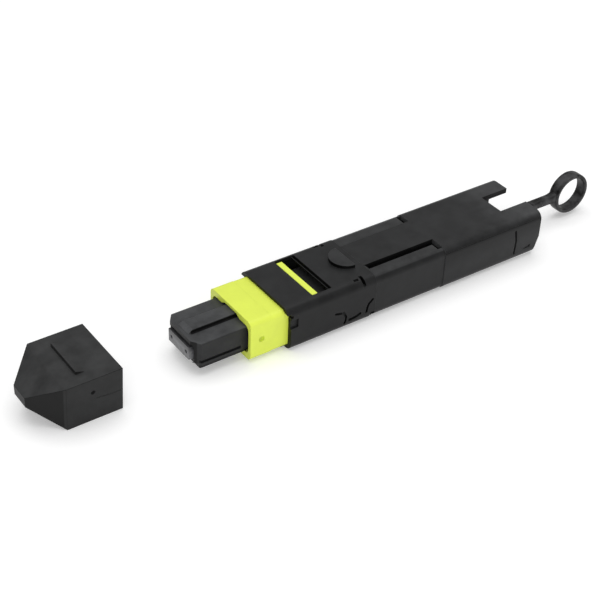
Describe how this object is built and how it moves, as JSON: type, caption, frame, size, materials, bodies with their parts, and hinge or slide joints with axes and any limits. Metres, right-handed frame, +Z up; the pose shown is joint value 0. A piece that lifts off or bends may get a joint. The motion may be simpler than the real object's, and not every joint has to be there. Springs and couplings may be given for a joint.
{
  "type": "fibre loopback module",
  "caption": "Plug-in fibre loopback module: a multi-fibre push-on plug with a sliding sleeve, a black body with a fibre loop inside, a rear pull ring and a removed dust cap.",
  "frame": {"origin": "centre of the ferrule's end face", "axes": "+X the way the plug points (insertion), +Y the near side in the picture, +Z up (key side)"},
  "size_m": [0.1189, 0.0152, 0.0095],
  "materials": {
    "lime": "smooth moulded lime plastic",
    "ferrule": "glass-filled grey ferrule plastic with a polished end face",
    "boot": "soft black rubber",
    "spring": "bright spring wire",
    "ring": "smooth black plastic",
    "cap": "soft black plastic",
    "fibre": "aqua coated glass fibre",
    "body": "matte black moulded plastic"
  },
  "bodies": {
    "housing": {"front_cover": "body", "middle_frame": "body", "rear_shell": "body", "rear_lid": "body", "plug_housing": "body", "spring_push": "body", "ferrule_spring": "spring", "coupling_spring_near": "spring", "coupling_spring_far": "spring"},
    "release": {"coupling_sleeve": "lime", "release_slider": "body", "pull_ring": "ring"},
    "ferrule_unit": {"ferrule": "ferrule", "ferrule_boot": "boot", "ferrule_spacer": "body", "fibre_loop_1": "fibre", "fibre_loop_2": "fibre", "fibre_loop_3": "fibre", "fibre_loop_4": "fibre", "fibre_loop_5": "fibre", "fibre_loop_6": "fibre"},
    "cap": {"dust_cap": "cap"}
  },
  "joints": [
    {"name": "release_slide", "type": "slide", "parent": "housing", "child": "release", "axis": [-1, 0, 0], "range_m": [0, 0.002], "stiffness_N_per_m": 1200, "springref_m": -0.002, "deforming": ["coupling_spring_near", "coupling_spring_far"]},
    {"name": "ferrule_float", "type": "slide", "parent": "housing", "child": "ferrule_unit", "axis": [-1, 0, 0], "range_m": [0, 0.0008], "stiffness_N_per_m": 3000, "springref_m": -0.002, "deforming": ["ferrule_spring"]},
    {"name": "cap_slide", "type": "slide", "parent": "housing", "child": "cap", "axis": [-0.9984, 0.0561, 0], "range_m": [0, 0.02284]}
  ]
}
